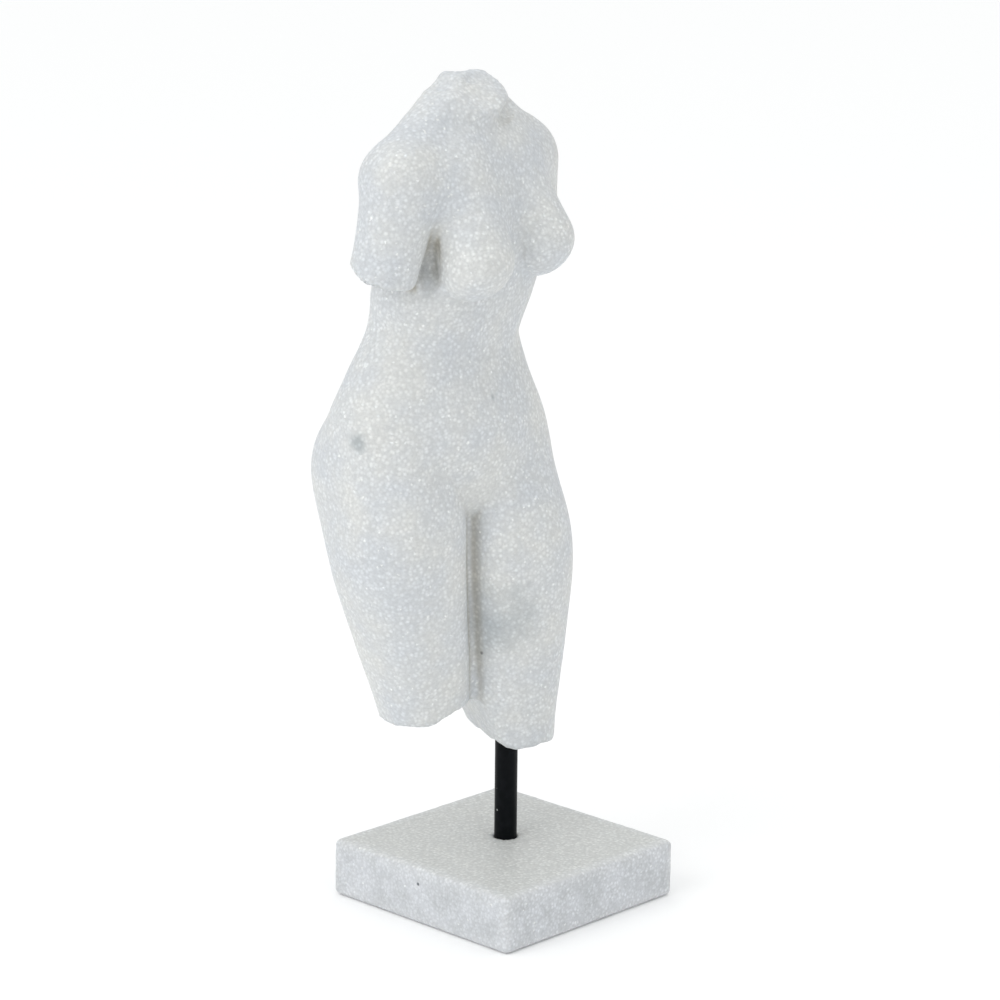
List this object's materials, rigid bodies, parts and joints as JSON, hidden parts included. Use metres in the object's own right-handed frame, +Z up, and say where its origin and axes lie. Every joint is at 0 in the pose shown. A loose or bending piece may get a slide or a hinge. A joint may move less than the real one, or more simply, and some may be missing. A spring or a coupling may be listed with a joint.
{
  "type": "female torso sculpture",
  "caption": "White marble female torso, broken at neck, arms and thighs, on a black rod in a square marble plinth.",
  "frame": {"origin": "centre of the plinth's underside", "axes": "+Z up through the plinth and the figure; the figure faces -Y and its right side is at -X; the plinth's sides are square to X and Y"},
  "size_m": [0.1562, 0.1398, 0.4356],
  "materials": {
    "carved_marble": "hand-finished sugary white marble, matt with sparkling crystals, faint grey spots and warm dust in the creases",
    "black_rod": "satin black paint with small chips",
    "polished_marble": "honed off-white marble with eased edges"
  },
  "bodies": {
    "root": {"torso": "carved_marble", "rod": "black_rod", "plinth": "polished_marble"}
  },
  "joints": []
}
